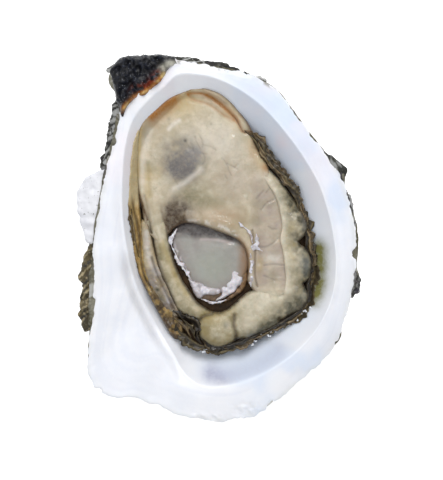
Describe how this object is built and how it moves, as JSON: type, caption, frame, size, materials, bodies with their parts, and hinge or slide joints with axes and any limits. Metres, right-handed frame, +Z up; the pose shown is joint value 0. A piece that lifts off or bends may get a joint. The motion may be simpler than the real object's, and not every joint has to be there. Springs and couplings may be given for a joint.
{
  "type": "oyster on the half shell",
  "caption": "Opened oyster lying in its cupped lower valve, white inside with a dark flaky outside, with the soft body, frilled mantle and adductor muscle in place.",
  "frame": {"origin": "middle of the object's box in plan, on the surface that the shell stands on", "axes": "+Z up out of the cup, +Y from the ventral margin to the hinge, +X to the rounded margin"},
  "size_m": [0.0778, 0.1012, 0.0303],
  "materials": {
    "shell": "smooth porcelain white inside, rough green-brown and black flakes outside",
    "ligament": "glossy black with an amber edge",
    "body_flesh": "wet, cream to beige",
    "mantle_flesh": "wet, cream, ruffled",
    "mantle_edge": "wet, brown to black frill",
    "gill_flesh": "wet, pale grey",
    "quick_muscle": "wet, translucent grey-green",
    "catch_muscle": "wet, opaque white"
  },
  "bodies": {
    "root": {"lower_valve": "shell", "hinge_ligament": "ligament", "visceral_mass": "body_flesh", "mantle_upper_lobe": "mantle_flesh", "mantle_lower_lobe": "mantle_edge", "gills": "gill_flesh", "adductor_quick_muscle": "quick_muscle", "adductor_catch_muscle": "catch_muscle"}
  },
  "joints": []
}
